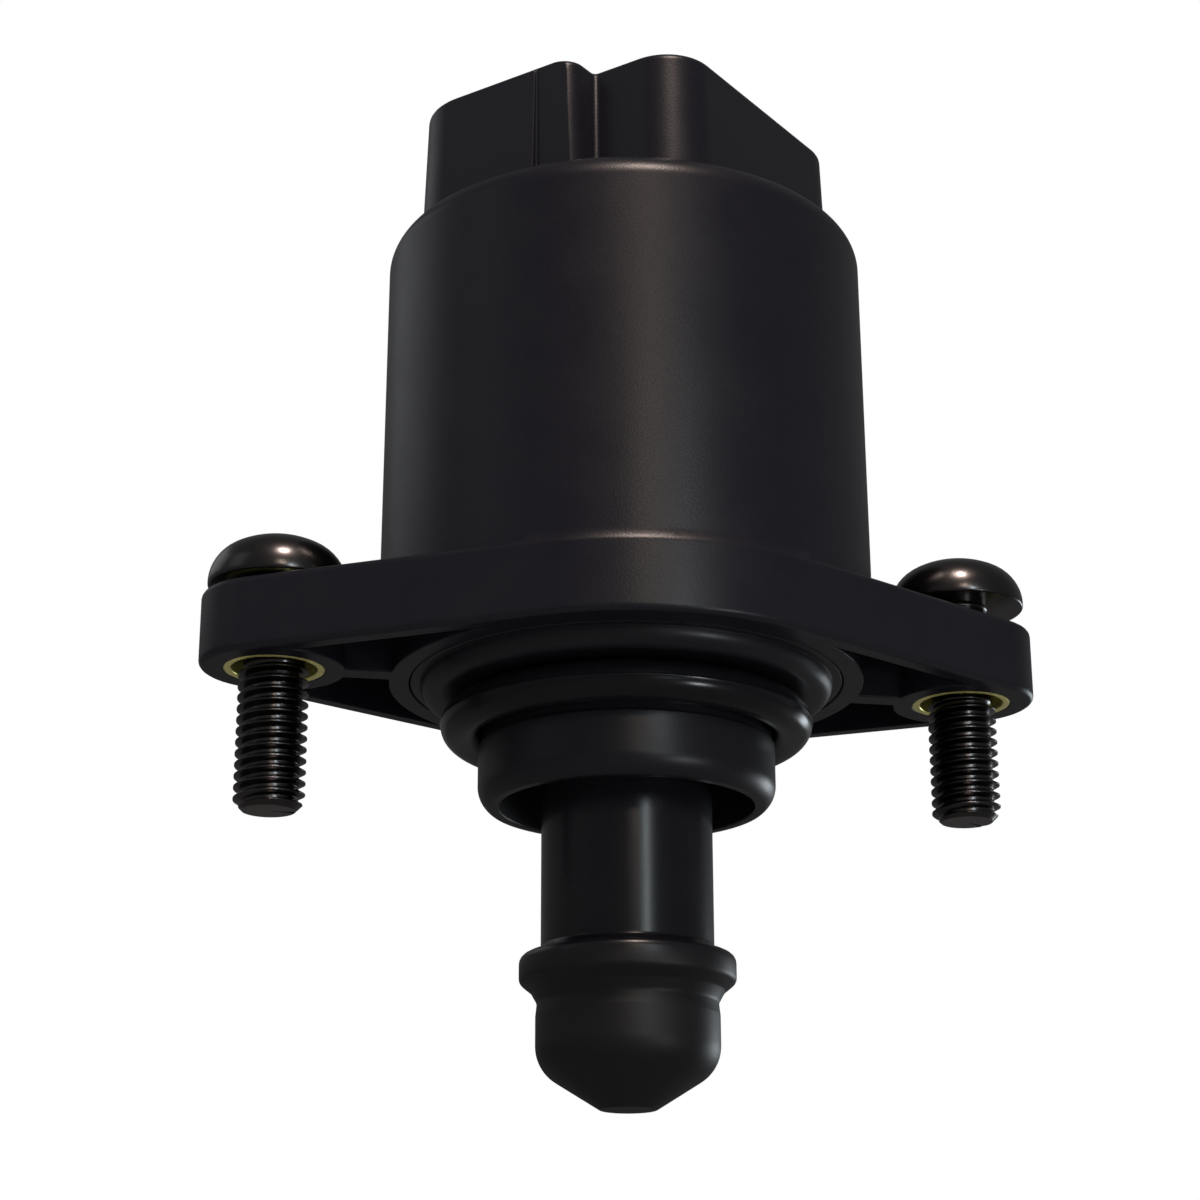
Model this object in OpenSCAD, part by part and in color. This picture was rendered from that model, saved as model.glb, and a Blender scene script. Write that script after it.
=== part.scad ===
// Idle air control valve: a small stepper motor whose hollow rotor winds a
// non-turning plunger in and out of an air passage. Z = 0 is the mounting face,
// the plunger points down and the plug socket points up.

/* [Barrel] */
// Radius of the barrel where it meets the flange
barrel_r = 17.75; // [16.8:0.05:20]
// Radius that the barrel loses to draft on its way up
barrel_draft = 0.15; // [0:0.05:0.4]
// Height of the barrel's top face over the mounting face
barrel_top = 33.8; // [33:0.1:38]
// Radius of the rounded shoulder
shoulder_r = 2; // [0.8:0.1:3]
// Wall between the barrel and the motor cavity
barrel_wall = 2.1; // [1.5:0.05:2.4]

/* [Flange] */
// Distance between the two fixing screws
screw_spacing = 50; // [48:0.5:60]
// Thickness of the flange
flange_t = 5.3; // [4:0.1:7]
// Radius of the ears round the screws
ear_r = 5.25; // [4.8:0.05:6.5]
// How far the flange's middle stands out past the barrel
flange_lip = 0.1; // [0.05:0.05:1]
// Wall left round the cored pockets
flange_wall = 1.4; // [1:0.1:1.8]
// Skin left over the cored pockets
flange_skin = 1.9; // [1.2:0.1:2.5]
// Thickness of the rib from ear to barrel
rib_t = 1.8; // [1:0.1:2.5]
// Rounding on the lower edge of the ears
ear_round = 0.5; // [0.2:0.1:0.8]

/* [Plug socket] */
// Turn of the socket against the flange
plug_turn = -45; // [-60:5:-30]
// Width of the socket
plug_w = 23.1; // [21:0.1:24]
// Reach of the socket on its stepped side
plug_near = 9.6; // [9:0.1:10.5]
// Reach of the socket on its far side
plug_far = 13.3; // [11:0.1:13.5]
// Height of the socket over the barrel
plug_h = 10.4; // [8:0.1:13]
// How far the keying block steps out
key_step = 3.1; // [2:0.1:3.4]
// Where the keying block ends, from the socket's middle
key_end = 4.05; // [2:0.05:5]
// Rounding of the keying block's end
key_round = 1.5; // [0.8:0.1:2]
// Rounding of the corner that the keying block widens
key_corner = 4.6; // [3:0.1:5]
// Rounding of the other socket corners
plug_round = 3.7; // [2:0.1:4]
// Wall of the socket
plug_wall = 1.7; // [1.2:0.1:2]
// Depth of the socket
plug_depth = 9.4; // [7:0.1:9.5]
// Width of a contact blade
blade_w = 2.3; // [1.5:0.1:2.8]
// Thickness of a contact blade
blade_t = 0.64; // [0.5:0.02:0.8]
// Distance between blades
blade_pitch = 4.4; // [3.8:0.1:4.8]
// Height of the blades over the socket floor
blade_h = 7; // [5:0.1:8]
// Offset of the row of blades from the middle
blade_row = 5; // [4.7:0.1:6.5]

/* [Spigot] */
// Radius of the collar under the flange
collar_r = 14.7; // [13.5:0.05:15]
// Depth and rounding of the collar
collar_h = 1.3; // [0.8:0.1:2]
// Radius of the spigot
spigot_r = 10.5; // [9.5:0.05:11.5]
// Depth of the spigot under the mounting face
spigot_end = 8.9; // [7.5:0.05:12]
// Wall of the spigot at its rim
spigot_wall = 1.5; // [1:0.1:2]
// Thickness of the sealing ring
ring_d = 2.9; // [2:0.05:3.2]
// Depth of the sealing ring's groove
groove_depth = 0.2; // [0.1:0.05:0.6]

/* [Plunger] */
// Radius of the stem
stem_r = 6; // [5.2:0.05:6.1]
// Wall of the stem
stem_wall = 1.5; // [1:0.05:1.6]
// Top of the collar on the stem, under the mounting face
bead_top = 19.3; // [18.5:0.1:26]
// Height of the collar on the stem
bead_h = 2.4; // [1.6:0.1:3]
// Radius of the collar on the stem
bead_r = 7.5; // [7:0.05:8.2]
// Radius of the nose
nose_r = 6.35; // [5.5:0.05:6.8]
// Length of the nose under the collar
nose_l = 8.1; // [7.5:0.1:12]
// Travel of the plunger
travel = 9.25; // [6:0.25:9.5]
// Radius of the lead screw
lead_r = 2.5; // [2:0.05:2.6]

/* [Motor] */
// Outer radius of the ring magnet
magnet_r = 9.6; // [9.2:0.05:9.9]
// Height of one half of the stator
stator_half = 10.3; // [9.5:0.1:10.4]
// Thickness of the stator's sheet
sheet_t = 0.8; // [0.6:0.05:1]
// Claws on each pole plate
claws = 6; // [4:1:8]
// Width of the front bearing
bearing_w = 5; // [4.6:0.1:5.2]
// Outer radius of the front bearing
bearing_r = 12; // [11.8:0.1:12.6]
// Bore radius of the front bearing
bearing_bore = 7.5; // [7.3:0.05:7.8]
// Diameter of the balls
ball_d = 2.38; // [2:0.02:2.5]
// Number of balls
balls_n = 13; // [8:1:15]

/* [Screws] */
// Radius of the thread
thread_r = 2.5; // [2:0.25:2.6]
// Length of the screws under the head
screw_l = 16; // [12:1:25]
// Radius of the head
head_r = 4.9; // [4.2:0.05:5.2]
// Height of the head
head_h = 3.8; // [3:0.1:5]
// How far the left screw stands off its bush
lift_left = 0.3; // [0:0.1:1]
// How far the right screw stands off its bush
lift_right = 1.6; // [0:0.1:3]
// Wall of the bushes
bush_wall = 0.55; // [0.5:0.05:1.2]
// How far the bushes stand over the flange
bush_proud = 0.3; // [0.1:0.1:0.6]

/* [Hidden] */
$fn = 96;

slide_gap = 0.06;   // running fit of a shaft in its bush
air_gap = 0.25;     // between turning and still parts
seat_gap = 0.1;     // between parts of the housing
bush_play = 0.5;    // of a screw's thread in its bush
eps = 0.01;

barrel_r_top = barrel_r - barrel_draft;
cavity_r = barrel_r_top - barrel_wall;

// Heights of what stands on the guide, from the mounting face up
disc_t = 2.8;
disc_r = cavity_r - seat_gap;
bearing_z = disc_t;
bearing_mid = (bearing_r + bearing_bore) / 2;
cradle_top = bearing_z + bearing_w + 0.4;
stator_z = cradle_top + 0.3;
stator_top = stator_z + 2 * stator_half;

// Rotor
hub_r = bearing_bore;
well_r = stem_r + 0.4;
journal_r = 2.5;
nut_r = stem_r - stem_wall - 0.5;
nut_z = bearing_z + 0.4;
nut_seat_l = 3;
stem_top = 2;
well_top = stem_top + travel + 0.95;
nut_top = well_top + nut_seat_l;
lead_top = nut_top + 0.5;
lead_bore_top = lead_top + travel + 1.2;
hub_top = max(lead_bore_top + 1.8, stator_top - 1.1);
magnet_z = stator_z + 0.8;
magnet_top = min(hub_top - 0.3, stator_top - 1.4);

// Roof over the stator and the rotor, with the blades' feet under it
turn_gap = 1.1;
foot_gap = 0.46;
ceiling_z = max(stator_top, hub_top + turn_gap) + foot_gap + blade_t;
blade_root = ceiling_z - blade_t;
rear_bush_l = 3;
rear_bush_r = journal_r + 1.5;
rear_bush_z = ceiling_z - 0.3;
rear_bush_top = rear_bush_z + rear_bush_l;

// Stator
pole_r = magnet_r + air_gap;
cup_r = cavity_r - seat_gap;
cup_wall = 0.85;
claw_reach = stator_half - sheet_t - 0.6;
spool_gap = 0.1;
spool_r = pole_r + sheet_t + spool_gap;
spool_wall = 0.85;
spool_flange = 0.8;
spool_h = stator_half - 2 * (sheet_t + spool_gap);
spool_rim = cup_r - cup_wall - 0.2;

// Socket
plug_z = barrel_top + plug_h;
floor_z = plug_z - plug_depth;

// Spigot, under the mounting face
lead_in = 1.5;
lead_in_w = 0.8;
lead_in_r = (pow(lead_in, 2) + pow(lead_in_w, 2)) / (2 * lead_in_w);
seat_end = -collar_h - ring_d - 0.35;
sleeve_end = -spigot_end + 2.85;
guide_top = disc_t - 0.5;

// Plunger, under the mounting face
bore_end = -(bead_top - 1.7);
nose_end = -(bead_top + bead_h + nose_l);
nose_solid = 4.5;
lead_root = nose_end + nose_solid;
key_w = 1.5;
key_depth = 0.7;
key_z = 0.8;

// Screws
screw_x = screw_spacing / 2;
bush_bore = thread_r + bush_play;
bush_r = bush_bore + bush_wall;
bush_top = flange_t + bush_proud;

black = [0.07, 0.07, 0.08];
soft_black = [0.1, 0.1, 0.1];
steel = [0.6, 0.6, 0.62];
brass = [0.78, 0.64, 0.32];
copper = [0.72, 0.4, 0.22];

// Points of an arc from angle a to angle b about (x, y)
function arc(x, y, r, a, b, n = 8) =
    [for (i = [0 : n]) let (t = a + (b - a) * i / n) [x + r * cos(t), y + r * sin(t)]];

// Four-sided outline whose long sides touch a middle circle and an ear circle
module tangent_web(mid_r, end_r) {
    lean = acos((mid_r - end_r) / screw_x);
    polygon([
        [mid_r * cos(lean), mid_r * sin(lean)],
        [screw_x + end_r * cos(lean), end_r * sin(lean)],
        [screw_x + end_r * cos(lean), -end_r * sin(lean)],
        [mid_r * cos(lean), -mid_r * sin(lean)]
    ]);
}

module both_sides() {
    children();
    rotate([0, 0, 180]) children();
}

module flange() {
    mid_r = barrel_r + flange_lip;
    difference() {
        union() {
            cylinder(r = mid_r, h = flange_t);
            both_sides() {
                linear_extrude(flange_t) tangent_web(mid_r, ear_r);
                translate([screw_x, 0, 0]) ear();
            }
        }
        both_sides() pocket(mid_r - flange_wall, ear_r - flange_wall);
    }
}

module ear() {
    rotate_extrude() polygon(concat(
        [[0, flange_t], [0, 0]],
        arc(ear_r - ear_round, ear_round, ear_round, -90, 0, 4),
        [[ear_r, flange_t]]
    ));
}

// The moulding is cored from below, with a rib from the ear to the barrel
module pocket(mid_r, end_r) {
    depth = flange_t - flange_skin;
    past = 2;
    difference() {
        translate([0, 0, -1]) linear_extrude(depth + 1) tangent_web(mid_r, end_r);
        translate([0, 0, -past]) cylinder(r = cavity_r + flange_wall, h = depth + 2 * past);
        translate([screw_x, 0, -past]) cylinder(r = bush_r + flange_wall, h = depth + 2 * past);
        translate([0, -rib_t / 2, -past]) cube([screw_x, rib_t, depth + 2 * past]);
    }
}

module round_block(x0, y0, x1, y1, r, h) {
    translate([x0 + r, y0, 0]) cube([x1 - x0 - 2 * r, y1 - y0, h]);
    translate([x0, y0 + r, 0]) cube([x1 - x0, y1 - y0 - 2 * r, h]);
    for (x = [x0 + r, x1 - r], y = [y0 + r, y1 - r]) {
        translate([x, y, 0]) cylinder(r = r, h = h);
    }
}

// Outline of the socket, drawn in by inset for its inside
module plug_block(inset, h) {
    half = plug_w / 2 - inset;
    key_y = -plug_near - key_step + inset;
    corner = key_corner - inset / 2;
    round_block(-half, -plug_near + inset, half, plug_far - inset, plug_round - inset / 2, h);
    difference() {
        round_block(-half, key_y, key_end - inset, 0, key_round, h);
        translate([-half - eps, key_y - eps, -1]) cube([corner, corner, h + 2]);
    }
    translate([-half + corner, key_y + corner, 0]) cylinder(r = corner, h = h);
}

module plug_socket() {
    step_x = 0.7;
    step_d = 0.4;
    sunk = 1;
    rotate([0, 0, plug_turn]) difference() {
        union() {
            translate([0, 0, barrel_top - sunk]) plug_block(0, plug_h + sunk);
            latch_nib();
        }
        translate([0, 0, floor_z]) plug_block(plug_wall, plug_depth + 1);
        translate([step_x, -plug_near - key_step - 1, barrel_top - sunk - 1])
            cube([key_end, 1 + step_d, plug_h + sunk + 2]);
    }
}

// Ramp that the loom's plug clicks over
module latch_nib() {
    nib_w = 5;
    nib_out = 1.1;
    nib_h = 3.6;
    ramp_h = 2.6;
    flat_h = 0.6;
    from_rim = 2;
    translate([-nib_w / 2, plug_far - eps, plug_z - from_rim]) rotate([90, 0, 90])
        linear_extrude(nib_w)
        polygon([[0, 0], [nib_out, -ramp_h], [nib_out, -ramp_h - flat_h], [0, -nib_h]]);
}

module housing() {
    color(black) difference() {
        union() {
            rotate_extrude() polygon(concat(
                [[0, 0], [barrel_r, 0]],
                arc(barrel_r_top - shoulder_r, barrel_top - shoulder_r, shoulder_r, 0, 90),
                [[0, barrel_top]]
            ));
            flange();
            plug_socket();
        }
        translate([0, 0, -1]) cylinder(r = cavity_r, h = ceiling_z + 1);
        cylinder(r = rear_bush_r, h = rear_bush_top);
        both_sides() translate([screw_x, 0, -1]) cylinder(r = bush_r, h = flange_t + 2);
        for (i = [0 : 3]) terminal_blade(i);
    }
}

// Where blade i stands in its row
function blade_x(i) = (i - 1.5) * blade_pitch;

module terminal_blade(i) {
    tip = 0.5;
    length = floor_z + blade_h - blade_root;
    rotate([0, 0, plug_turn]) translate([blade_x(i) - blade_w / 2, blade_row - blade_t / 2, 0])
        translate([0, 0, blade_root]) rotate([90, 0, 90]) linear_extrude(blade_w) polygon([
            [0, 0],
            [blade_t, 0],
            [blade_t, length - tip],
            [blade_t * 0.7, length],
            [blade_t * 0.3, length],
            [0, length - tip]
        ]);
}

// A blade bent over under the ceiling, with a hole in its foot for the coil wire
module terminal(i) {
    foot_end = spool_rim - 1.75;
    wire_hole_r = 0.4;
    color(brass) {
        difference() {
            union() {
                terminal_blade(i);
                rotate([0, 0, plug_turn])
                    translate([blade_x(i) - blade_w / 2, blade_row, blade_root])
                    cube([blade_w, foot_end - blade_row, blade_t]);
            }
            rotate([0, 0, plug_turn]) translate([blade_x(i), foot_end - 1, ceiling_z - 1])
                cylinder(r = wire_hole_r, h = 2, $fn = 24);
        }
    }
}

// Bearing carrier, stem guide and spigot in one moulding
module nose_guide() {
    cradle_r = bearing_r + 0.03;
    cradle_out = (cradle_r + disc_r) / 2;
    bore = stem_r + slide_gap;
    sleeve_r = bore + 1.1;
    recess_top = sleeve_end + 2;
    recess_r = spigot_r - spigot_wall - 0.3;
    rim_r = spigot_r - spigot_wall;
    seat_r = spigot_r - groove_depth;
    relief_r = bearing_r - 1.1;
    color(black) {
        rotate_extrude() polygon(concat(
            [[bore, guide_top], [bore, sleeve_end], [sleeve_r, sleeve_end]],
            [[sleeve_r, recess_top], [recess_r, recess_top], [rim_r, -spigot_end]],
            arc(spigot_r - lead_in_r, -spigot_end + lead_in, lead_in_r, -asin(lead_in / lead_in_r), 0),
            [[spigot_r, seat_end]],
            [[seat_r, seat_end], [seat_r, -collar_h]],
            arc(collar_r - collar_h, 0, collar_h, -90, 0, 6),
            [[disc_r, 0], [disc_r, disc_t], [cradle_out, disc_t]],
            [[cradle_out, cradle_top], [cradle_r, cradle_top]],
            [[cradle_r, disc_t], [relief_r, disc_t], [relief_r, guide_top]]
        ));
        guide_keys();
    }
}

// Two keys in the guide's bore stop the plunger from turning
module guide_keys() {
    both_sides() translate([stem_r - key_depth + 0.1, -key_w / 2, key_z])
        cube([key_depth + 0.3, key_w, guide_top - key_z]);
}

module seal_ring() {
    color(soft_black) rotate_extrude()
        translate([spigot_r - groove_depth + ring_d / 2, -collar_h - 0.2 - ring_d / 2])
        circle(d = ring_d, $fn = 48);
}

// Raceway groove that both rings share
module raceway() {
    rotate_extrude() translate([bearing_mid, bearing_z + bearing_w / 2])
        circle(r = ball_d / 2 + 0.05, $fn = 48);
}

module race(r_in, r_out) {
    difference() {
        translate([0, 0, bearing_z]) cylinder(r = r_out, h = bearing_w);
        translate([0, 0, bearing_z - 1]) cylinder(r = r_in, h = bearing_w + 2);
        raceway();
    }
}

module outer_race() {
    color(steel) race(bearing_mid + ball_d * 0.36, bearing_r);
}

module inner_race() {
    color(steel) race(bearing_bore, bearing_mid - ball_d * 0.36);
}

module balls() {
    color(steel) for (i = [0 : balls_n - 1]) {
        rotate([0, 0, i * 360 / balls_n])
            translate([bearing_mid, 0, bearing_z + bearing_w / 2])
            sphere(d = ball_d, $fn = 32);
    }
}

// Crown cage: a ring on one side with the balls' pockets cut into it
module ball_cage() {
    cage_t = 1;
    cage_z = bearing_z + bearing_w / 2 - 0.1;
    color(soft_black) difference() {
        translate([0, 0, cage_z]) cylinder(r = bearing_mid + cage_t / 2, h = bearing_w / 2 - 0.2);
        translate([0, 0, cage_z - 1]) cylinder(r = bearing_mid - cage_t / 2, h = bearing_w);
        for (i = [0 : balls_n - 1]) {
            rotate([0, 0, i * 360 / balls_n]) translate([bearing_mid, 0, bearing_z + bearing_w / 2])
                sphere(d = ball_d + 0.1, $fn = 32);
        }
    }
}

// A ring of pole claws that stand up from a plate at z = 0
module claw_ring(reach) {
    pitch = 2 * PI * pole_r / (2 * claws);
    root_w = pitch * 0.86;
    tip_w = pitch * 0.58;
    intersection() {
        difference() {
            cylinder(r = pole_r + sheet_t, h = reach);
            translate([0, 0, -1]) cylinder(r = pole_r, h = reach + 2);
        }
        union() for (i = [0 : claws - 1]) {
            rotate([0, 0, i * 360 / claws]) translate([pole_r + 2, 0, 0]) rotate([90, 0, -90])
                linear_extrude(4) polygon([
                    [-root_w / 2, 0], [root_w / 2, 0], [tip_w / 2, reach], [-tip_w / 2, reach]
                ]);
        }
    }
}

module plate(r) {
    difference() {
        cylinder(r = r, h = sheet_t);
        translate([0, 0, -1]) cylinder(r = pole_r, h = sheet_t + 2);
    }
}

module pole_cup() {
    plate(cup_r);
    claw_ring(claw_reach);
    difference() {
        cylinder(r = cup_r, h = stator_half);
        translate([0, 0, -1]) cylinder(r = cup_r - cup_wall, h = stator_half + 2);
    }
}

module pole_plate() {
    plate(cup_r - cup_wall - 0.05);
    claw_ring(claw_reach);
}

module bobbin() {
    difference() {
        union() {
            cylinder(r = spool_r + spool_wall, h = spool_h);
            for (z = [0, spool_h - spool_flange]) {
                translate([0, 0, z]) cylinder(r = spool_rim, h = spool_flange);
            }
        }
        translate([0, 0, -1]) cylinder(r = spool_r, h = spool_h + 2);
    }
}

module winding() {
    h = spool_h - 2 * spool_flange;
    difference() {
        cylinder(r = spool_rim - 0.4, h = h);
        translate([0, 0, -1]) cylinder(r = spool_r + spool_wall, h = h + 2);
    }
}

// Puts a piece of the lower half in place, or turned over in the upper half,
// which is set round by a quarter of a pole pair
module lower_half() {
    translate([0, 0, stator_z]) children();
}

module upper_half() {
    translate([0, 0, stator_top]) rotate([180, 0, 90 / claws]) children();
}

// The plate that closes a cup, with its claws between the cup's own
module closing_plate() {
    translate([0, 0, stator_half]) rotate([180, 0, 180 / claws]) children();
}

// Lifts what lies in a cup over the cup's floor
module in_cup(lift) {
    translate([0, 0, sheet_t + spool_gap + lift]) children();
}

module lower_cup() { color(steel) lower_half() pole_cup(); }
module upper_cup() { color(steel) upper_half() pole_cup(); }
module lower_pole_plate() { color(steel) lower_half() closing_plate() pole_plate(); }
module upper_pole_plate() { color(steel) upper_half() closing_plate() pole_plate(); }
module lower_bobbin() { color("white") lower_half() in_cup(0) bobbin(); }
module upper_bobbin() { color("white") upper_half() in_cup(0) bobbin(); }
module lower_winding() { color(copper) lower_half() in_cup(spool_flange) winding(); }
module upper_winding() { color(copper) upper_half() in_cup(spool_flange) winding(); }

module rear_bush() {
    color(brass) difference() {
        translate([0, 0, rear_bush_z]) cylinder(r = rear_bush_r, h = rear_bush_l);
        translate([0, 0, rear_bush_z - 1]) cylinder(r = journal_r + slide_gap, h = rear_bush_l + 2);
    }
}

// Hollow rotor body: the stem rises into its lower well, the screw into its upper bore
module rotor_hub() {
    lead_bore = lead_r + 0.9;
    color(soft_black) rotate_extrude() polygon([
        [well_r, bearing_z], [hub_r, bearing_z], [hub_r, hub_top], [journal_r, hub_top],
        [journal_r, rear_bush_top - 0.5], [0, rear_bush_top - 0.5], [0, lead_bore_top],
        [lead_bore, lead_bore_top], [lead_bore, nut_top], [nut_r, nut_top],
        [nut_r, well_top], [well_r, well_top]
    ]);
}

module magnet() {
    color([0.25, 0.25, 0.27]) difference() {
        translate([0, 0, magnet_z]) cylinder(r = magnet_r, h = magnet_top - magnet_z);
        translate([0, 0, magnet_z - 1]) cylinder(r = hub_r, h = magnet_top);
    }
}

module drive_nut() {
    color(brass) difference() {
        translate([0, 0, nut_z]) cylinder(r = nut_r, h = nut_top - nut_z);
        translate([0, 0, nut_z - 1]) cylinder(r = lead_r + 0.08, h = nut_top);
    }
}

// Round wire swept along a helix, with its end turns closed up
module return_spring() {
    wire = 0.7;
    turns = 9;
    steps = 20;
    sides = 6;
    low = bore_end + wire / 2 + 0.1;
    high = nut_z - wire / 2 - 0.1;
    coil_r = (lead_r + stem_r - stem_wall) / 2;
    n = turns * steps;
    dead = steps;
    function rise(i) = i < dead ? wire * i / steps
        : i > n - dead ? high - low - wire * (n - i) / steps
        : wire + (high - low - 2 * wire) * (i - dead) / (n - 2 * dead);
    pts = [
        for (i = [0 : n], k = [0 : sides - 1]) let (
            t = i * 360 / steps,
            w = k * 360 / sides,
            r = coil_r + wire / 2 * cos(w)
        ) [r * cos(t), r * sin(t), low + rise(i) + wire / 2 * sin(w)]
    ];
    ring = [for (k = [0 : sides - 1]) k];
    sides_faces = [
        for (i = [0 : n - 1], k = [0 : sides - 1]) let (
            a = i * sides + k,
            b = i * sides + (k + 1) % sides
        ) [a, b, b + sides, a + sides]
    ];
    color(steel) polyhedron(
        points = pts,
        faces = concat([[for (k = ring) sides - 1 - k]], sides_faces, [[for (k = ring) n * sides + k]]),
        convexity = 12
    );
}

module plunger() {
    edge = 0.7;
    neck_r = nose_r - 0.1;
    dome_r = 2.8;
    dome_a = -58;
    tip_r = 1.95;
    bead_end = bead_top + bead_h;
    dome_h = 4.3;
    color(black) difference() {
        rotate_extrude() polygon(concat(
            [[0, bore_end], [stem_r - stem_wall, bore_end], [stem_r - stem_wall, stem_top]],
            [[stem_r - 0.3, stem_top], [stem_r, stem_top - 0.3]],
            [[stem_r, -bead_top + 0.5], [stem_r + 0.4, -bead_top]],
            arc(bead_r - edge, -bead_top - edge, edge, 90, 0, 4),
            arc(bead_r - edge, -bead_end + edge, edge, 0, -60, 4),
            [[neck_r + 0.25, -bead_end - 0.35], [neck_r, -bead_end - 0.9], [nose_r, -bead_end - 1.8]],
            arc(nose_r - dome_r, nose_end + dome_h, dome_r, 0, dome_a),
            [[tip_r, nose_end], [0, nose_end]]
        ));
        translate([0, 0, lead_root]) cylinder(r = lead_r, h = -lead_root);
        stem_slots();
    }
}

// Slots that the guide's keys run in over the whole travel
module stem_slots() {
    length = stem_top - key_z + travel + 0.3;
    both_sides() translate([stem_r - key_depth, -key_w / 2 - 0.05, stem_top - length])
        cube([key_depth + 1, key_w + 0.1, length + 1]);
}

module lead_screw() {
    color(steel) translate([0, 0, lead_root]) cylinder(r = lead_r, h = lead_top - lead_root);
}

module bush() {
    color(brass) difference() {
        cylinder(r = bush_r, h = bush_top);
        translate([0, 0, -1]) cylinder(r = bush_bore, h = bush_top + 2);
    }
}

module bush_left() { translate([-screw_x, 0, 0]) bush(); }
module bush_right() { translate([screw_x, 0, 0]) bush(); }

// Captive screw with its seat at z = 0: the thread, the thin neck and the domed head
module screw(seat) {
    neck_r = thread_r - 0.35;
    neck_end = 0.2 - seat;
    end_taper = 0.6;
    rim = 1.8;
    rim_round = 1.5;
    dome_r = (pow(head_r, 2) + pow(head_h - rim, 2)) / (2 * (head_h - rim));
    dome_z = head_h - dome_r;
    rim_z = dome_z + sqrt(pow(dome_r - rim_round, 2) - pow(head_r - rim_round, 2));
    dome_a = atan2(rim_z - dome_z, head_r - rim_round);
    recess_r = 1.55;
    lobe_r = 0.52;
    recess_depth = 2.4;
    color(soft_black) translate([0, 0, seat]) difference() {
        rotate_extrude() polygon(concat(
            [[0, -screw_l], [thread_r - end_taper, -screw_l], [thread_r, -screw_l + end_taper]],
            [[thread_r, neck_end - 0.35], [neck_r, neck_end], [neck_r, 0], [head_r, 0]],
            arc(head_r - rim_round, rim_z, rim_round, 0, dome_a),
            arc(0, dome_z, dome_r, dome_a, 90, 10)
        ));
        translate([0, 0, head_h - recess_depth]) {
            cylinder(r = recess_r, h = recess_depth + 1);
            for (i = [0 : 5]) rotate([0, 0, i * 60]) translate([recess_r, 0, 0])
                cylinder(r = lobe_r, h = recess_depth + 1, $fn = 24);
        }
    }
}

module screw_left() { translate([-screw_x, 0, 0]) screw(bush_top + lift_left); }
module screw_right() { translate([screw_x, 0, 0]) screw(bush_top + lift_right); }

housing();
terminal(0);  // terminal_1
terminal(1);  // terminal_2
terminal(2);  // terminal_3
terminal(3);  // terminal_4
nose_guide();
seal_ring();
outer_race();
inner_race();
balls();
ball_cage();
lower_cup();
lower_pole_plate();
lower_bobbin();
lower_winding();
upper_cup();
upper_pole_plate();
upper_bobbin();
upper_winding();
rear_bush();
rotor_hub();
magnet();
drive_nut();
return_spring();
plunger();
lead_screw();
bush_left();
bush_right();
screw_left();
screw_right();
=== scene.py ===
import math

import bmesh
import bpy
from mathutils import Matrix, Vector


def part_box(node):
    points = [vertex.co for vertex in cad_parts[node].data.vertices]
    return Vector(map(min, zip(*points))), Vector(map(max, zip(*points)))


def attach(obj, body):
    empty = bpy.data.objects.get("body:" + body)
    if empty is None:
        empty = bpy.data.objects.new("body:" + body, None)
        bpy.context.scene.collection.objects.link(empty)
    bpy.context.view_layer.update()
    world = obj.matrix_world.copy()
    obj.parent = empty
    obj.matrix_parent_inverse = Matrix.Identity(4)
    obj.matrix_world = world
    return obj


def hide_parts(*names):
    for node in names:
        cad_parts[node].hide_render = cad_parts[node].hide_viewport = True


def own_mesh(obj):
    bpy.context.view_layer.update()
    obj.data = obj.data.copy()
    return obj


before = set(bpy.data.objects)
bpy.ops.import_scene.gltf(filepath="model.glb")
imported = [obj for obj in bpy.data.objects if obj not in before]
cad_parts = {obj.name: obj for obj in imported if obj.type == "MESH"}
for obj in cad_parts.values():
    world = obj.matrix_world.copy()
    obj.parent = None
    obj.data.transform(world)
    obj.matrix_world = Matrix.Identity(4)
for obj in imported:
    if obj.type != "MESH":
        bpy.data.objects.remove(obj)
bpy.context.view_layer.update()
mm = 0.001
print("frame loaded:", len(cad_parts), "nodes")


# Camera, floor and lamps

view = {
    "lens": 74.78, "sensor": 36.0, "distance": 180.27,
    "azimuth": -10.564, "elevation": -18.684, "roll": -0.137,
    "right": -1.842, "height": 6.639, "clipStart": 5,
}


def placeCamera():
    # looks up at the valve from below its flange
    az, el, roll = (math.radians(view[k]) for k in ("azimuth", "elevation", "roll"))
    back = Vector((math.sin(az) * math.cos(el), -math.cos(az) * math.cos(el), math.sin(el)))
    right = Vector((math.cos(az), math.sin(az), 0))
    up = back.cross(right)
    sideways = right * math.cos(roll) + up * math.sin(roll)
    upright = up * math.cos(roll) - right * math.sin(roll)
    place = back * view["distance"] + right * view["right"] + Vector((0, 0, view["height"]))
    turn = Matrix((sideways, upright, back)).transposed().to_4x4()
    data = bpy.data.cameras.new("photoCamera")
    data.lens = view["lens"]
    data.sensor_width = view["sensor"]
    data.clip_start = view["clipStart"] * mm
    cam = bpy.data.objects.new("photoCamera", data)
    cam.matrix_world = Matrix.Translation(place * mm) @ turn
    bpy.context.collection.objects.link(cam)
    bpy.context.scene.camera = cam


studio = {
    "floorHeight": -64, "floorSize": 4000, "floorRough": 0.9,
    # shade of the floor to the camera, in soft light and in reflections; in reflections it is painted darker,
    # a painted shade on the undersides that mirror the floor
    "floorSeen": 0.64, "floorShade": 0.82, "floorShadeInReflections": 0.10,
    # strength of the world, in the same order
    "seen": 1, "fill": 0.60, "gloss": 0.125,
}

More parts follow.
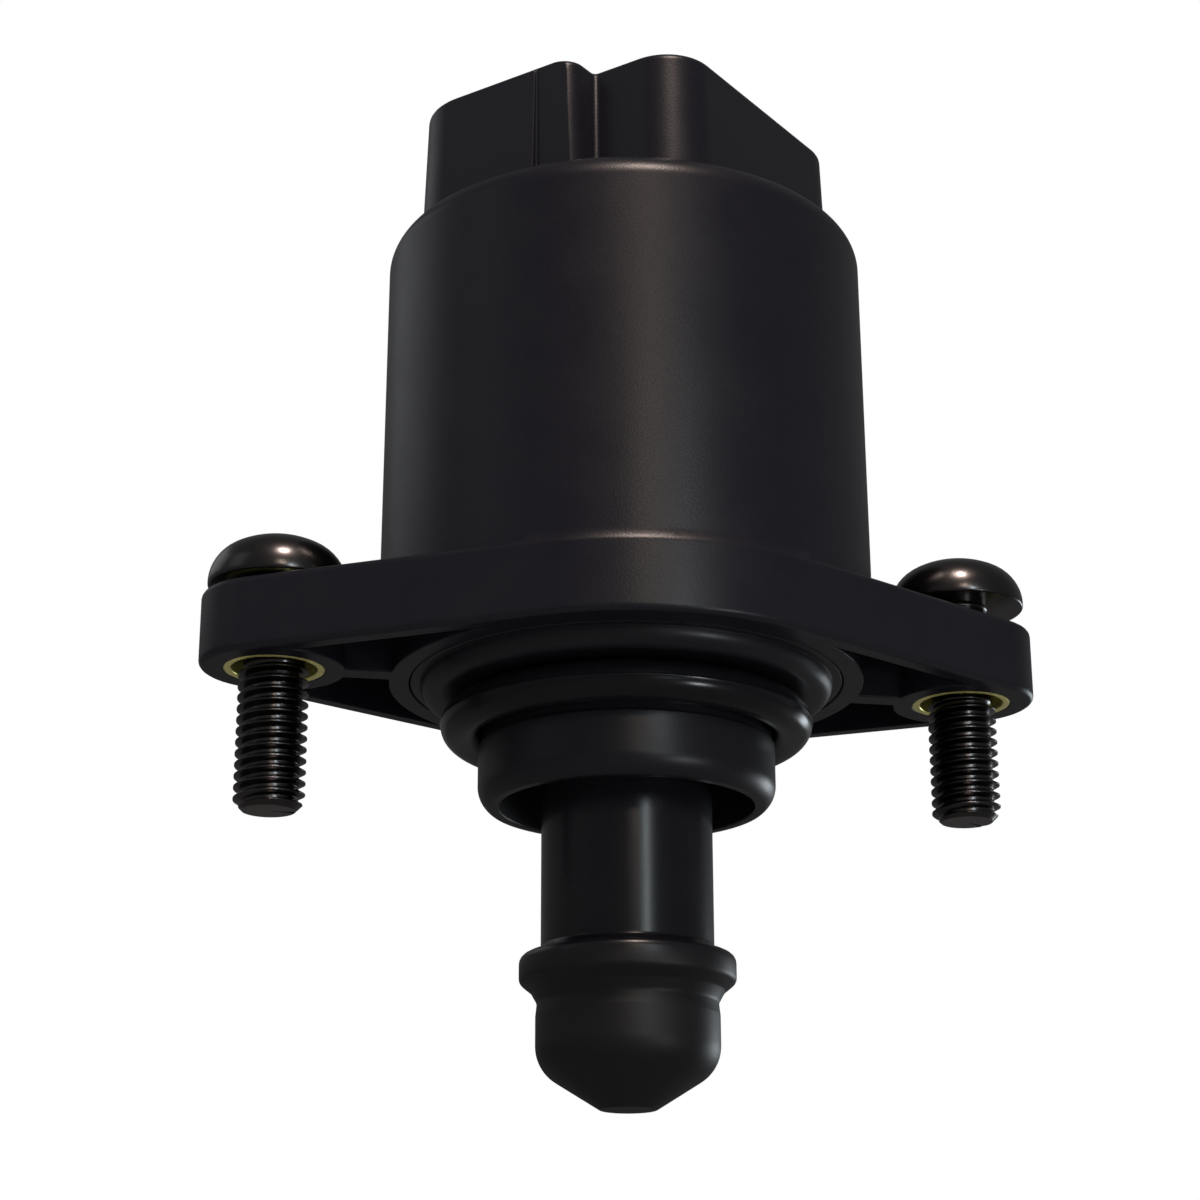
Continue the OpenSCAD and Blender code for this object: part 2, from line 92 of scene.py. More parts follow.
# each lamp: place in mm, aimed point in mm, size in mm, watts, beam in degrees, colour
lamps = {
    "topFront": ((8, -222, 352), (0, 0, 30), (50, 60), 1.25, 180, (1.0, 0.80, 0.70)),
    "front": ((4, -560, 225), (0, 0, 17), (70, 90), 0.26, 180, (1.0, 0.82, 0.66)),
    "stemStrip": ((87, -340, 62), (0, 0, -14), (24, 110), 0.16, 180, (0.84, 0.95, 1.0)),
    "leftBack": ((-245, 206, 190), (0, 0, 15), (240, 140), 0.05, 180, (0.92, 0.95, 1.0)),
    "rightLow": ((235, 148, -25), (0, 0, -4), (100, 76), 0.14, 180, (0.86, 0.95, 1.0)),
    "leftSide": ((-330, -70, 200), (0, 0, 20), (160, 200), 0.025, 180, (0.92, 0.95, 1.0)),
    "ringSpot": ((98, -154, -56), (3, -13, -3), (22, 8), 0.0014, 30, (0.90, 0.96, 1.0)),
}


def worked(tree, what, *values):
    # one Math node, fed with numbers or sockets
    node = tree.nodes.new("ShaderNodeMath")
    node.operation = what
    for socket, value in zip(node.inputs, values):
        if isinstance(value, (int, float)):
            socket.default_value = value
        else:
            tree.links.new(value, socket)
    return node.outputs[0]


def seenStrength(tree, seen, plain, glossy):
    # strength of the surroundings to the camera, as soft light and in reflections
    paths = tree.nodes.new("ShaderNodeLightPath").outputs
    unseen = worked(tree, "MULTIPLY_ADD", paths["Is Glossy Ray"], glossy - plain, plain)
    return worked(tree, "MULTIPLY_ADD", paths["Is Camera Ray"], seen - plain, unseen)


def lightStudio():
    world = bpy.data.worlds.new("studioWorld")
    bpy.context.scene.world = world
    world.use_nodes = True
    sky = world.node_tree.nodes["Background"]
    sky.inputs["Color"].default_value = (1, 1, 1, 1)
    strength = seenStrength(world.node_tree, studio["seen"], studio["fill"], studio["gloss"])
    world.node_tree.links.new(strength, sky.inputs["Strength"])

    for name, (place, aim, size, watts, beam, colour) in lamps.items():
        data = bpy.data.lights.new(name, "AREA")
        data.shape = "RECTANGLE"
        data.size, data.size_y = size[0] * mm, size[1] * mm
        data.energy = watts
        data.color = colour
        data.spread = math.radians(beam)
        lamp = bpy.data.objects.new(name, data)
        lamp.location = Vector(place) * mm
        lamp.rotation_euler = (Vector(aim) - Vector(place)).to_track_quat("-Z", "Y").to_euler()
        bpy.context.collection.objects.link(lamp)

    half = studio["floorSize"] * mm / 2
    floorMesh = bpy.data.meshes.new("studioFloor")
    z = studio["floorHeight"] * mm
    corners = [(-half, -half, z), (half, -half, z), (half, half, z), (-half, half, z)]
    floorMesh.from_pydata(corners, [], [(0, 1, 2, 3)])
    floor = bpy.data.objects.new("studioFloor", floorMesh)
    bpy.context.collection.objects.link(floor)
    paint = bpy.data.materials.new("floorPaint")
    paint.use_nodes = True
    shader = paint.node_tree.nodes["Principled BSDF"]
    shader.inputs["Roughness"].default_value = studio["floorRough"]
    # the floor's much darker shade in reflections is painted shade, which keeps the object's undersides dark
    shades = (studio["floorSeen"], studio["floorShade"], studio["floorShadeInReflections"])
    paint.node_tree.links.new(seenStrength(paint.node_tree, *shades), shader.inputs["Base Color"])
    floorMesh.materials.append(paint)


# Shapes that the pieces share

past = 1           # mm that a cutter stands over what it cuts
weld = 0.0005      # mm within which points become one
fewest = 3         # steps of the shortest arc
creases = {"moulded": 35, "thread": 40, "coil": 60}    # degrees above which an edge stays sharp


def softCorners(points, closed=True, fineness=0.22, arcSteps=0):
    # each point is (x, y, radius): the corner is replaced by an arc of that radius
    out = []
    count = len(points)
    for i, (x, y, radius) in enumerate(points):
        here = Vector((x, y))
        if radius == 0 or (not closed and i in (0, count - 1)):
            out.append(here)
            continue
        before = (Vector(points[i - 1][:2]) - here).normalized()
        after = (Vector(points[(i + 1) % count][:2]) - here).normalized()
        half = before.angle(after) / 2
        centre = here + (before + after).normalized() * radius / math.sin(half)
        start = here + before * radius / math.tan(half) - centre
        end = here + after * radius / math.tan(half) - centre
        a = math.atan2(start.y, start.x)
        sweep = (math.atan2(end.y, end.x) - a + math.pi) % (2 * math.pi) - math.pi
        steps = arcSteps or max(fewest, math.ceil(abs(sweep) * radius / fineness))
        for k in range(steps + 1):
            t = a + sweep * k / steps
            out.append(centre + Vector((math.cos(t), math.sin(t))) * radius)
    return out


def newObject(name, bm):
    bmesh.ops.remove_doubles(bm, verts=bm.verts, dist=weld * mm)
    bmesh.ops.recalc_face_normals(bm, faces=bm.faces)
    mesh = bpy.data.meshes.new(name)
    bm.to_mesh(mesh)
    bm.free()
    obj = bpy.data.objects.new(name, mesh)
    bpy.context.collection.objects.link(obj)
    return obj


def loft(name, rings, loop=False, openStart=False, openEnd=False):
    # rings of equal length, in mm; a ring of one point is a pole
    bm = bmesh.new()
    rows = [[bm.verts.new(Vector(p) * mm) for p in ring] for ring in rings]
    pairs = list(zip(rows, rows[1:]))
    if loop:
        pairs.append((rows[-1], rows[0]))
    for low, high in pairs:
        n = max(len(low), len(high))
        for k in range(n):
            j = (k + 1) % n
            quad = [low[k % len(low)], low[j % len(low)], high[j % len(high)], high[k % len(high)]]
            corners = list(dict.fromkeys(quad))
            if len(corners) > 2:
                bm.faces.new(corners)
    if not loop:
        for row, leave in ((rows[0], openStart), (rows[-1], openEnd)):
            if len(row) > 2 and not leave:
                bm.faces.new(row)
    return newObject(name, bm)


def lathe(name, profile, loop=False, segments=160):
    # profile of (radius, height) points turned about Z
    rings = []
    for r, z in profile:
        turns = (2 * math.pi * k / segments for k in range(segments))
        rings.append([(r * math.cos(a), r * math.sin(a), z) for a in turns] if r else [(0, 0, z)])
    return loft(name, rings, loop)


def carve(obj, cutter, how="DIFFERENCE"):
    mod = obj.modifiers.new("carve", "BOOLEAN")
    mod.operation = how
    mod.solver = "EXACT"
    mod.object = cutter
    makePlain(obj)
    bpy.data.objects.remove(cutter)


def makePlain(obj):
    # the evaluated shape becomes the object's own mesh
    graph = bpy.context.evaluated_depsgraph_get()
    graph.update()
    result = bpy.data.meshes.new_from_object(obj.evaluated_get(graph))
    result.name = obj.name
    obj.modifiers.clear()
    obj.data = result


def smoothOver(obj, kind="moulded"):
    obj.data.shade_smooth()
    obj.data.set_sharp_from_angle(angle=math.radians(creases[kind]))
    even = obj.modifiers.new("evenNormals", "WEIGHTED_NORMAL")
    even.keep_sharp = True
    even.weight = 100    # flat faces keep their normals beside rounded corners


def block(name, low, high):
    (x0, y0, z0), (x1, y1, z1) = low, high
    return loft(name, [
        [(x0, y0, z), (x1, y0, z), (x1, y1, z), (x0, y1, z)] for z in (z0, z1)
    ])


# Finishes

finishes = {
    # base colour, second colour, metal, roughness, specular level,
    # then in mm: size of the grain, its height, rounding of the edges
    "mouldedBlack": ((0.0040, 0.0039, 0.0078), (0.0066, 0.0064, 0.0098), 0, 0.35, 0.30, 0.16, 0.010, 0.22),
    "guideBlack": ((0.0040, 0.0039, 0.0062), (0.0062, 0.0060, 0.0082), 0, 0.36, 0.30, 0.20, 0.006, 0.12),
    "plungerBlack": ((0.0028, 0.0028, 0.0044), (0.0052, 0.0052, 0.0068), 0, 0.26, 0.34, 0.30, 0.004, 0.10),
    "rotorBlack": ((0.02, 0.02, 0.02), (0.03, 0.03, 0.03), 0, 0.5, 0.40, 0.2, 0.008, 0.15),
    "nitrile": ((0.0025, 0.0024, 0.0036), (0.0042, 0.0040, 0.0052), 0, 0.22, 0.30, 0.5, 0.004, 0.05),
    "blackOxide": ((0.070, 0.069, 0.075), (0.100, 0.094, 0.090), 1, 0.24, 0.50, 0.35, 0.006, 0.06),
    "yellowZinc": ((0.90, 0.80, 0.24), (0.70, 0.74, 0.34), 0.82, 0.24, 0.5, 0.6, 0.004, 0.05),
    "bronze": ((0.62, 0.42, 0.20), (0.50, 0.33, 0.16), 1, 0.42, 0.5, 0.12, 0.008, 0.10),
    "sheetSteel": ((0.60, 0.60, 0.62), (0.50, 0.51, 0.53), 1, 0.36, 0.5, 0.5, 0.004, 0.08),
    "polishedSteel": ((0.72, 0.72, 0.74), (0.66, 0.66, 0.69), 1, 0.12, 0.5, 0.5, 0.001, 0.08),
    "springWire": ((0.55, 0.55, 0.56), (0.42, 0.41, 0.40), 1, 0.28, 0.5, 0.2, 0.004, 0.05),
    "rolledSteel": ((0.62, 0.62, 0.64), (0.50, 0.50, 0.52), 1, 0.25, 0.5, 0.3, 0.003, 0.05),
    "tinnedContact": ((0.74, 0.70, 0.58), (0.64, 0.58, 0.42), 1, 0.24, 0.5, 0.4, 0.003, 0.05),
    "naturalNylon": ((0.70, 0.67, 0.58), (0.62, 0.58, 0.48), 0, 0.42, 0.5, 0.3, 0.006, 0.12),
    "brownNylon": ((0.30, 0.17, 0.08), (0.24, 0.13, 0.06), 0, 0.40, 0.5, 0.3, 0.005, 0.10),
    "enamelledCopper": ((0.70, 0.30, 0.12), (0.55, 0.20, 0.07), 1, 0.24, 0.5, 0.25, 0.003, 0.04),
    "ferrite": ((0.085, 0.085, 0.09), (0.13, 0.13, 0.135), 0.4, 0.55, 0.5, 0.1, 0.010, 0.15),
}

# worn ends: finish, height in mm below which it is duller, depth of the change, times rougher
wornBelow = {"plungerBlack": (-19.5, 1.2, 1.75)}

# the slow patches of colour and gloss, and the fine grain
surface = {
    "patch": 5, "patchDetail": 5, "patchRough": 0.62, "glossiest": 0.80, "dullest": 1.22,
    "grainDetail": 3, "edgeSamples": 6,
}


def makeFinish(name):
    base, second, metal, rough, specular, grain, relief, edge = finishes[name]
    mat = bpy.data.materials.new(name)
    mat.use_nodes = True
    nodes, links = mat.node_tree.nodes, mat.node_tree.links
    shader = nodes["Principled BSDF"]
    shader.inputs["Metallic"].default_value = metal
    shader.inputs["Specular IOR Level"].default_value = specular
    where = nodes.new("ShaderNodeTexCoord")

    # slow variation of the colour and the gloss
    cloud = nodes.new("ShaderNodeTexNoise")
    cloud.inputs["Scale"].default_value = 1 / (surface["patch"] * mm)
    cloud.inputs["Detail"].default_value = surface["patchDetail"]
    cloud.inputs["Roughness"].default_value = surface["patchRough"]
    tone = nodes.new("ShaderNodeMix")
    tone.data_type = "RGBA"
    tone.inputs["A"].default_value = (*base, 1)
    tone.inputs["B"].default_value = (*second, 1)
    gloss = nodes.new("ShaderNodeMapRange")
    gloss.inputs["To Min"].default_value = rough * surface["glossiest"]
    gloss.inputs["To Max"].default_value = rough * surface["dullest"]
    links.new(where.outputs["Object"], cloud.inputs["Vector"])
    links.new(cloud.outputs["Fac"], tone.inputs["Factor"])
    links.new(tone.outputs["Result"], shader.inputs["Base Color"])
    links.new(cloud.outputs["Fac"], gloss.inputs["Value"])
    dullness = gloss.outputs["Result"]
    if name in wornBelow:
        start, depth, rougher = wornBelow[name]
        height = nodes.new("ShaderNodeSeparateXYZ")
        wear = nodes.new("ShaderNodeMapRange")
        wear.inputs["From Min"].default_value = start * mm
        wear.inputs["From Max"].default_value = (start - depth) * mm
        wear.inputs["To Min"].default_value = 1
        wear.inputs["To Max"].default_value = rougher
        links.new(where.outputs["Object"], height.inputs[0])
        links.new(height.outputs["Z"], wear.inputs["Value"])
        dullness = worked(mat.node_tree, "MULTIPLY", dullness, wear.outputs["Result"])
    links.new(dullness, shader.inputs["Roughness"])

    # fine grain of the surface, laid over slightly rounded edges
    fine = nodes.new("ShaderNodeTexNoise")
    fine.inputs["Scale"].default_value = 1 / (grain * mm)
    fine.inputs["Detail"].default_value = surface["grainDetail"]
    soft = nodes.new("ShaderNodeBevel")
    soft.samples = surface["edgeSamples"]
    soft.inputs["Radius"].default_value = edge * mm
    bump = nodes.new("ShaderNodeBump")
    bump.inputs["Strength"].default_value = 1
    bump.inputs["Distance"].default_value = relief * mm
    links.new(where.outputs["Object"], fine.inputs["Vector"])
    links.new(fine.outputs["Fac"], bump.inputs["Height"])
    links.new(soft.outputs["Normal"], bump.inputs["Normal"])
    links.new(bump.outputs["Normal"], shader.inputs["Normal"])
    return mat


def dress(obj, finish):
    obj.data.materials.clear()
    obj.data.materials.append(materials[finish])


def settle(obj, finish, body, node):
    # last step of a piece that stands for a node
    dress(obj, finish)
    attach(obj, body)
    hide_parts(node)
    print("made", obj.name)


materials = {name: makeFinish(name) for name in finishes}
print("finishes made:", len(materials))


# The housing: barrel, flange and plug socket in one moulding

barrel = {
    "radius": 17.75, "topRadius": 17.6, "foot": 1, "top": 33.8, "shoulder": 2.0,
    "cavity": 15.5, "ceiling": 30.2, "bushPocket": 4.0, "bushPocketTop": 32.9,
    "wallRings": (5.8, 30), "segments": 224,
}
flangePlate = {
    "middle": 17.85, "ear": 5.25, "spacing": 50, "thickness": 5.3, "round": 0.45,
    "wall": 1.4, "skin": 1.9, "rib": 1.8, "bushHole": 3.55,
    "arcSteps": 48, "edgeSteps": 4, "pocketSteps": 10, "holeSegments": 64,
}
socket = {
    "turn": -45, "half": 11.55, "near": 9.6, "far": 13.3, "step": 3.1, "keyEnd": 4.05,
    "corner": 3.7, "keyCorner": 4.6, "keyRound": 1.5, "inner": 0.4, "wall": 1.7, "draft": 0.15,
    "top": 44.2, "floor": 34.8, "rim": 0.6, "mouth": 0.3, "faceStep": 0.7, "faceDepth": 0.4,
    "nibWidth": 5, "nibOut": 1.1, "nibHeights": (42.2, 39.6, 39.0, 38.6),
    "sunk": 1, "arcSteps": 20, "rimSteps": 5,
}


def flangeOutline(inset):
    # two ears and a round middle, joined by lines that touch both
    mid, ear = flangePlate["middle"] - inset, flangePlate["ear"] - inset
    far, arcSteps = flangePlate["spacing"] / 2, flangePlate["arcSteps"]
    lean = math.acos((mid - ear) / far)
    points = []
    for centre, radius, start, end in (
        (far, ear, -lean, lean), (0, mid, lean, math.pi - lean),
        (-far, ear, math.pi - lean, math.pi + lean), (0, mid, math.pi + lean, 2 * math.pi - lean),
    ):
        for k in range(arcSteps + 1):
            t = start + (end - start) * k / arcSteps
            points.append((centre + radius * math.cos(t), radius * math.sin(t)))
    return points


def quarterTurn(steps):
    return [math.pi / 2 * k / steps for k in range(steps + 1)]


def edgeLayers(low, high, radius, steps):
    # (inset, height) up over the lower rounded edge and then over the upper one
    quarter = quarterTurn(steps)
    rise = [(radius * (1 - math.sin(t)), low + radius * (1 - math.cos(t))) for t in quarter]
    fall = [(radius * (1 - math.cos(t)), high - radius * (1 - math.sin(t))) for t in quarter]
    return rise + fall


def makeFlange():
    layers = edgeLayers(0, flangePlate["thickness"], flangePlate["round"], flangePlate["edgeSteps"])
    return loft("flange", [[(x, y, z) for x, y in flangeOutline(inset)] for inset, z in layers])


def socketOutline(inset):
    h, near, far = socket["half"] - inset, socket["near"] - inset, socket["far"] - inset
    step, keyEnd = near + socket["step"], socket["keyEnd"] - inset
    r, keyR = socket["corner"] - inset / 2, socket["keyCorner"] - inset / 2
    return softCorners([
        (-h, -step, keyR), (keyEnd, -step, socket["keyRound"]), (keyEnd, -near, socket["inner"]),
        (h, -near, r), (h, far, r), (-h, far, r),
    ], arcSteps=socket["arcSteps"])


def makeSocket():
    # (inset, height) up the drafted outside, over the rounded rim and down to the floor
    rim, mouth, wall, top, draft = (socket[k] for k in ("rim", "mouth", "wall", "top", "draft"))
    quarter, start = quarterTurn(socket["rimSteps"]), barrel["top"] - socket["sunk"]
    layers = [(-draft, start)]
    layers += [(draft + rim * (1 - math.cos(t)), top - rim * (1 - math.sin(t))) for t in quarter]
    layers += [(wall - mouth * (1 - math.sin(t)), top - mouth * (1 - math.cos(t))) for t in quarter]
    layers += [(wall, socket["floor"])]
    body = loft("socket", [[(x, y, z) for x, y in socketOutline(inset)] for inset, z in layers])
    edge, left = -socket["near"] - socket["step"], socket["faceStep"]
    low = (left, edge - past, start - past)
    carve(body, block("faceStep", low, (left + socket["keyEnd"], edge + socket["faceDepth"], top + past)))
    carve(body, latchNib(), "UNION")
    body.data.transform(Matrix.Rotation(math.radians(socket["turn"]), 4, "Z"))
    return body


def latchNib():
    # ramp that the loom's plug clicks over
    half, far = socket["nibWidth"] / 2, socket["far"]
    reach = [far - 2 * socket["draft"], far + socket["nibOut"]]
    side = [(reach[k], z) for k, z in zip((0, 1, 1, 0), socket["nibHeights"])]
    return loft("nib", [[(x, y, z) for y, z in side] for x in (-half, half)])


def makeHousing():
    r0, r1, foot, top = barrel["radius"], barrel["topRadius"], barrel["foot"], barrel["top"]
    # two more rings in the wall, so that the cuts at its ends do not show along it
    between = [(r0 + (r1 - r0) * (z - foot) / (top - foot), z, 0) for z in barrel["wallRings"]]
    body = lathe("valveBody", softCorners([
        (0, foot, 0), (r0, foot, 0), *between, (r1, top, barrel["shoulder"]), (0, top, 0)
    ], closed=False), segments=barrel["segments"])
    carve(body, makeFlange(), "UNION")
    carve(body, makeSocket(), "UNION")
    cavity, ceiling = barrel["cavity"], barrel["ceiling"]
    pocket, pocketTop = barrel["bushPocket"], barrel["bushPocketTop"]
    carve(body, lathe("cavity", [
        (0, -past), (cavity, -past), (cavity, ceiling), (pocket, ceiling), (pocket, pocketTop), (0, pocketTop)
    ]))
    for side in (1, -1):
        for flip in (1, -1):
            carve(body, flangePocket(side, flip))
        low, high, holeR = -past, flangePlate["thickness"] + past, flangePlate["bushHole"]
        outline = [(0, low), (holeR, low), (holeR, high), (0, high)]
        hole = lathe("bushHole", outline, segments=flangePlate["holeSegments"])
        hole.data.transform(Matrix.Translation((side * flangePlate["spacing"] / 2 * mm, 0, 0)))
        carve(body, hole)
    smoothOver(body)
    settle(body, "mouldedBlack", "housing", "housing")


def flangePocket(side, flip):
    # one cored pocket beside the rib, right or left, front or back
    far, wall = flangePlate["spacing"] / 2, flangePlate["wall"]
    depth = flangePlate["thickness"] - flangePlate["skin"]
    mid, ear = flangePlate["middle"] - wall, flangePlate["ear"] - wall
    lean = math.acos((mid - ear) / far)
    core, boss = barrel["cavity"] + wall, flangePlate["bushHole"] + wall
    rib = flangePlate["rib"] / 2

    def meets(centre, radius, direction):
        # where a circle crosses the sloping wall's inner line x cos + y sin = mid
        away = mid - centre * math.cos(lean)
        turn = math.acos(max(-1, min(1, away / radius)))
        return lean + turn * direction

    def arc(centre, radius, start, end):
        steps = flangePlate["pocketSteps"]
        turns = [start + (end - start) * k / steps for k in range(steps + 1)]
        return [(centre + radius * math.cos(t), radius * math.sin(t)) for t in turns]

    outline = arc(0, core, math.asin(rib / core), meets(0, core, -1))
    outline += arc(far, boss, meets(far, boss, 1), math.pi - math.asin(rib / boss))
    return loft("pocket", [[(side * x, flip * y, z) for x, y in outline] for z in (-past, depth)])


# Nose guide: bearing carrier, stem guide and spigot in one moulding

guide = {
    "bore": 6.06, "top": 2.3, "sleeveRadius": 7.16, "sleeveEnd": -6.05,
    "recessTop": -4.05, "recessRadius": 8.7, "rimRadius": 9.0, "end": -8.9,
    "spigot": 10.5, "leadIn": 1.5, "leadInWidth": 0.8, "leadInSteps": 12, "seat": 10.3, "seatEnd": -4.55,
    "collar": 14.7, "collarDepth": 1.3, "collarLand": 0.02, "disc": 15.4, "discTop": 2.8,
    "cradleOut": 13.715, "cradleTop": 8.2, "cradle": 12.03, "relief": 10.9, "segments": 192,
    "keyWidth": 1.5, "keyDepth": 0.6, "keySunk": 0.3, "keyLow": 0.8, "keyShort": 0.05,
}
guideRounds = {
    "bore": 0.15, "sleeve": 0.2, "recessIn": 0.3, "recessOut": 0.4, "rimIn": 0.12, "rimOut": 0.1,
    "land": 0.08, "seatLow": 0.06, "seatHigh": 0.15, "discLow": 0.12, "discHigh": 0.15,
    "cradleOut": 0.2, "cradleIn": 0.15, "relief": 0.1,
}


def makeNoseGuide():
    g, rounds = guide, guideRounds
    leadR = (g["leadIn"] ** 2 + g["leadInWidth"] ** 2) / (2 * g["leadInWidth"])
    sweep = math.asin(g["leadIn"] / leadR)
    steps = g["leadInSteps"]
    leadIn = [(g["spigot"] - leadR + leadR * math.cos(t), g["end"] + g["leadIn"] + leadR * math.sin(t), 0)
              for t in (-sweep * (1 - k / steps) for k in range(1, steps + 1))]
    body = lathe("spigotGuide", softCorners([
        (g["bore"], g["top"], rounds["bore"]), (g["bore"], g["sleeveEnd"], rounds["sleeve"]),
        (g["sleeveRadius"], g["sleeveEnd"], rounds["sleeve"]),
        (g["sleeveRadius"], g["recessTop"], rounds["recessIn"]),
        (g["recessRadius"], g["recessTop"], rounds["recessOut"]),
        (g["rimRadius"], g["end"], rounds["rimIn"]),
        (g["spigot"] - g["leadInWidth"], g["end"], rounds["rimOut"]),
        *leadIn, (g["spigot"], g["seatEnd"], rounds["land"]),
        (g["seat"], g["seatEnd"], rounds["seatLow"]), (g["seat"], -g["collarDepth"], rounds["seatHigh"]),
        (g["collar"], -g["collarDepth"], g["collarDepth"] - g["collarLand"]), (g["collar"], 0, 0),
        (g["disc"], 0, rounds["discLow"]), (g["disc"], g["discTop"], rounds["discHigh"]),
        (g["cradleOut"], g["discTop"], rounds["cradleOut"]),
        (g["cradleOut"], g["cradleTop"], rounds["cradleOut"]),
        (g["cradle"], g["cradleTop"], rounds["cradleIn"]), (g["cradle"], g["discTop"], 0),
        (g["relief"], g["discTop"], rounds["relief"]), (g["relief"], g["top"], rounds["relief"]),
    ]), loop=True, segments=g["segments"])
    half, x0, x1 = g["keyWidth"] / 2, g["bore"] - g["keyDepth"], g["bore"] + g["keySunk"]
    for turn in (0, 180):
        key = block("key", (x0, -half, g["keyLow"]), (x1, half, g["top"] - g["keyShort"]))
        key.data.transform(Matrix.Rotation(math.radians(turn), 4, "Z"))
        carve(body, key, "UNION")
    smoothOver(body)
    settle(body, "guideBlack", "housing", "nose_guide")


# Sealing ring, with the fine flash line that its mould leaves

ring = {
    "inner": 10.3, "thickness": 2.9, "height": -2.95, "flash": 0.035, "flashWidth": 0.07,
    "steps": 96, "segments": 256,
}


def makeSealRing():
    radius = ring["thickness"] / 2
    middle = ring["inner"] + radius
    section = []
    for k in range(ring["steps"]):
        t = 2 * math.pi * k / ring["steps"]
        off = min(t % math.pi, math.pi - t % math.pi) * radius
        outside = 1 if math.cos(t) > 0 else 0
        r = radius + outside * ring["flash"] * math.exp(-(off / ring["flashWidth"]) ** 2)
        section.append((middle + r * math.cos(t), ring["height"] + r * math.sin(t)))
    body = lathe("sealRing", section, loop=True, segments=ring["segments"])
    smoothOver(body)
    settle(body, "nitrile", "housing", "seal_ring")


# Plunger: the moulded stem, its collar and its rounded nose

plunger = {
    "stem": 6.0, "wall": 1.5, "top": 2.0, "beadTop": -19.3, "bead": 7.5, "beadHeight": 2.4,
    "flare": 0.4, "flareHeight": 0.5,    # where the stem runs out into its collar
    "beadChamfer": 0.55, "neckOut": 0.35, "neckIn": 0.1, "neckHeights": (0.1, 0.9, 1.8),
    "nose": 6.35, "tip": -29.8, "tipRadius": 1.95,
    "dome": 2.8, "domeHeight": 4.3, "domeAngle": -58, "domeSteps": 12,
    "boreEnd": -17.6, "screwBore": 2.5, "screwEnd": -25.3,
    "slotWidth": 1.6, "slotDepth": 0.7, "slotEnd": -8.75, "segments": 192,
}
plungerRounds = {
    "screwBore": 0.1, "boreFoot": 0.4, "boreMouth": 0.2, "top": 0.3, "flareTop": 0.3, "flareFoot": 0.25,
    "beadHigh": 0.62, "beadLow": 0.5, "neckOut": 0.35, "neckIn": 0.5, "tip": 0.35,
}


def makePlunger():
    p, rounds = plunger, plungerRounds
    inside = p["stem"] - p["wall"]
    beadEnd = p["beadTop"] - p["beadHeight"]
    domeZ = p["tip"] + p["domeHeight"]
    steps, under = p["domeSteps"], [beadEnd - depth for depth in p["neckHeights"]]
    dome = [(p["nose"] - p["dome"] + p["dome"] * math.cos(t), domeZ + p["dome"] * math.sin(t), 0)
            for t in (math.radians(p["domeAngle"]) * k / steps for k in range(steps + 1))]
    profile = [
        (0, p["screwEnd"], 0), (p["screwBore"], p["screwEnd"], 0),
        (p["screwBore"], p["boreEnd"], rounds["screwBore"]),
        (inside, p["boreEnd"], rounds["boreFoot"]), (inside, p["top"], rounds["boreMouth"]),
        (p["stem"], p["top"], rounds["top"]),
        (p["stem"], p["beadTop"] + p["flareHeight"], rounds["flareTop"]),
        (p["stem"] + p["flare"], p["beadTop"], rounds["flareFoot"]),
        (p["bead"], p["beadTop"], rounds["beadHigh"]),
        (p["bead"], beadEnd + p["beadChamfer"], rounds["beadLow"]),
        (p["nose"] + p["neckOut"], under[0], rounds["neckOut"]),
        (p["nose"] - p["neckIn"], under[1], rounds["neckIn"]), (p["nose"], under[2], rounds["neckIn"]),
        *dome, (p["tipRadius"], p["tip"], rounds["tip"]), (0, p["tip"], 0),
    ]
    body = lathe("plungerBody", softCorners(profile, closed=False), segments=p["segments"])
    half, x0 = p["slotWidth"] / 2, p["stem"] - p["slotDepth"]
    for turn in (0, 180):
        slot = block("slot", (x0, -half, p["slotEnd"]), (p["stem"] + past, half, p["top"] + past))
        slot.data.transform(Matrix.Rotation(math.radians(turn), 4, "Z"))
        carve(body, slot)
    smoothOver(body)
    settle(body, "plungerBlack", "plunger", "plunger")


# Geometry Nodes that the threads and the coils share

grownWeld = 0.001    # mm within which the points of a grown shape become one

# shares of half a pitch: where the flat root ends and the flat crest starts
threadForm = {"root": 0.25, "crest": 0.875}


def sockets(tree, floats, ints):
    face = tree.interface
    face.new_socket("Geometry", in_out="INPUT", socket_type="NodeSocketGeometry")
    for name in floats:
        face.new_socket(name, in_out="INPUT", socket_type="NodeSocketFloat")
    for name in ints:
        face.new_socket(name, in_out="INPUT", socket_type="NodeSocketInt")
    face.new_socket("Material", in_out="INPUT", socket_type="NodeSocketMaterial")
    face.new_socket("Geometry", in_out="OUTPUT", socket_type="NodeSocketGeometry")
    return tree.nodes.new("NodeGroupInput").outputs


def onCircle(tree, radius, turns, height):
    angle = worked(tree, "MULTIPLY", turns, 2 * math.pi)
    place = tree.nodes.new("ShaderNodeCombineXYZ")
    tree.links.new(worked(tree, "MULTIPLY", radius, worked(tree, "COSINE", angle)), place.inputs[0])
    tree.links.new(worked(tree, "MULTIPLY", radius, worked(tree, "SINE", angle)), place.inputs[1])
    tree.links.new(height, place.inputs[2])
    return place.outputs[0]


def finishTree(tree, given, made):
    # the made geometry joined to the given one, as one plain mesh of one material
    links, nodes = tree.links, tree.nodes
    join = nodes.new("GeometryNodeJoinGeometry")
    links.new(made, join.inputs[0])
    links.new(given["Geometry"], join.inputs[0])
    merge = nodes.new("GeometryNodeMergeByDistance")
    merge.inputs["Distance"].default_value = grownWeld * mm
    real = nodes.new("GeometryNodeRealizeInstances")
    paint = nodes.new("GeometryNodeSetMaterial")
    out = nodes.new("NodeGroupOutput")
    links.new(join.outputs[0], merge.inputs["Geometry"])
    links.new(merge.outputs[0], real.inputs[0])
    links.new(real.outputs[0], paint.inputs["Geometry"])
    links.new(given["Material"], paint.inputs["Material"])
    links.new(paint.outputs[0], out.inputs[0])
    return tree


